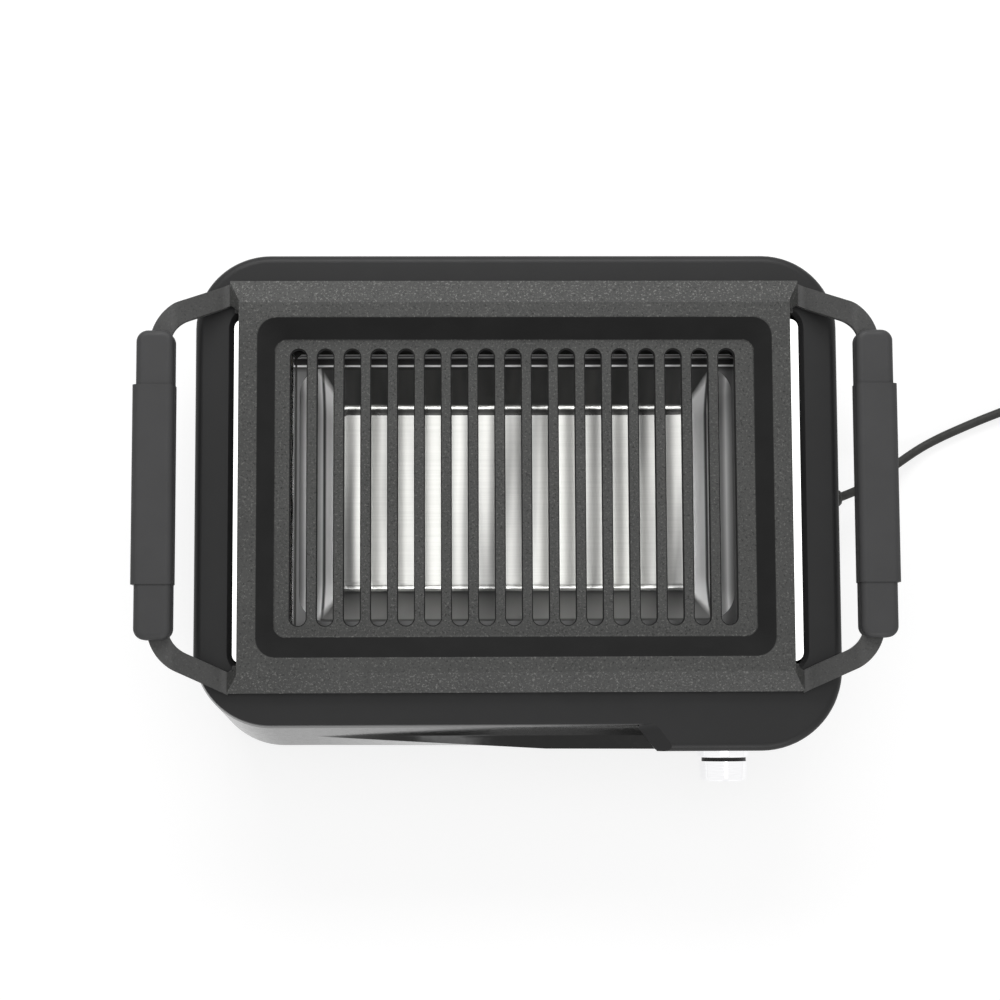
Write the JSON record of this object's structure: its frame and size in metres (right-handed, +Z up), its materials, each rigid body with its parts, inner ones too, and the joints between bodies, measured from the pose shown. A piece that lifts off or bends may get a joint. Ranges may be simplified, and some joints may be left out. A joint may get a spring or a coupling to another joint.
{
  "type": "smokeless tabletop grill",
  "caption": "Low rectangular tabletop grill with a slotted lift-off plate on two raised side handles, an inner drip tray, side heating rods and a front knob.",
  "frame": {"origin": "centre of the housing's width on the surface it stands on, which is the centre of the grill's bounding box within 3 mm, cord left out, because the plate lies 1.8 mm off the middle", "axes": "+Z up, the knob faces -Y, the handles are at -X and +X"},
  "size_m": [0.7901, 0.3735, 0.1685],
  "materials": {
    "upper_housing": "matt fine-textured charcoal moulding",
    "base_pan": "matt black moulding",
    "front_fascia": "glossy warm grey panel",
    "foot_pads": "matt rubber",
    "case_screws": "zinc plated",
    "seat_pads": "heat-proof silicone",
    "inner_liner": "mill finish sheet",
    "liner_posts": "turned steel",
    "liner_screws": "zinc plated",
    "left_reflector": "bright rolled sheet",
    "right_reflector": "bright rolled sheet",
    "left_heating_rod": "quartz tube",
    "right_heating_rod": "quartz tube",
    "left_heating_coil": "resistance wire",
    "right_heating_coil": "resistance wire",
    "left_heat_shield": "mill finish sheet",
    "right_heat_shield": "mill finish sheet",
    "ceramic_ends": "white ceramic",
    "rod_brackets": "pressed steel",
    "rod_tabs": "push-on tabs",
    "front_shield": "mill finish sheet",
    "rear_shield": "mill finish sheet",
    "rotary_switch": "moulded switch body",
    "switch_bracket": "pressed steel",
    "knob_ring": "plated",
    "terminal_block": "moulded block",
    "thermal_cutout": "moulded can",
    "wiring": "glass-braid sleeved leads",
    "cord_gland": "soft moulding",
    "cord_clamp": "moulded clamp",
    "inner_lead": "cord jacket",
    "power_cord": "cord jacket",
    "cord_coil": "cord jacket",
    "cord_tie": "soft band",
    "plug_body": "moulded plug",
    "plug_pins": "nickel plated",
    "drip_tray": "bright pressed sheet",
    "grill_plate": "dark speckled non-stick coating on cast metal",
    "left_handle_bar": "dark coated bar",
    "right_handle_bar": "dark coated bar",
    "left_grip_sleeve": "matt grip",
    "right_grip_sleeve": "matt grip",
    "left_grip_caps": "matt grip ends",
    "right_grip_caps": "matt grip ends",
    "handle_screws": "countersunk steel",
    "knob": "turned and plated",
    "knob_skirt": "dark collar",
    "knob_pointer": "inlaid line",
    "knob_shaft": "ground steel"
  },
  "bodies": {
    "base": {"upper_housing": "upper_housing", "base_pan": "base_pan", "front_fascia": "front_fascia", "foot_pads": "foot_pads", "case_screws": "case_screws", "seat_pads": "seat_pads", "inner_liner": "inner_liner", "liner_posts": "liner_posts", "liner_screws": "liner_screws", "left_reflector": "left_reflector", "right_reflector": "right_reflector", "left_heating_rod": "left_heating_rod", "right_heating_rod": "right_heating_rod", "left_heating_coil": "left_heating_coil", "right_heating_coil": "right_heating_coil", "left_heat_shield": "left_heat_shield", "right_heat_shield": "right_heat_shield", "ceramic_ends": "ceramic_ends", "rod_brackets": "rod_brackets", "rod_tabs": "rod_tabs", "front_shield": "front_shield", "rear_shield": "rear_shield", "rotary_switch": "rotary_switch", "switch_bracket": "switch_bracket", "knob_ring": "knob_ring", "terminal_block": "terminal_block", "thermal_cutout": "thermal_cutout", "wiring": "wiring", "cord_gland": "cord_gland", "cord_clamp": "cord_clamp", "inner_lead": "inner_lead", "power_cord": "power_cord", "cord_coil": "cord_coil", "cord_tie": "cord_tie", "plug_body": "plug_body", "plug_pins": "plug_pins"},
    "tray": {"drip_tray": "drip_tray"},
    "plate": {"grill_plate": "grill_plate", "left_handle_bar": "left_handle_bar", "right_handle_bar": "right_handle_bar", "left_grip_sleeve": "left_grip_sleeve", "right_grip_sleeve": "right_grip_sleeve", "left_grip_caps": "left_grip_caps", "right_grip_caps": "right_grip_caps", "handle_screws": "handle_screws"},
    "knob": {"knob": "knob", "knob_skirt": "knob_skirt", "knob_pointer": "knob_pointer", "knob_shaft": "knob_shaft"}
  },
  "joints": [
    {"name": "tray_lift", "type": "slide", "parent": "base", "child": "tray", "axis": [0, 0, 1], "range_m": [0, 0.09]},
    {"name": "plate_lift", "type": "slide", "parent": "tray", "child": "plate", "axis": [0, 0, 1], "range_m": [0, 0.12]},
    {"name": "knob_turn", "type": "hinge", "parent": "base", "child": "knob", "pos_m": [0.148, -0.178, 0.086], "axis": [0, -1, 0], "range_deg": [-90, 0]}
  ]
}
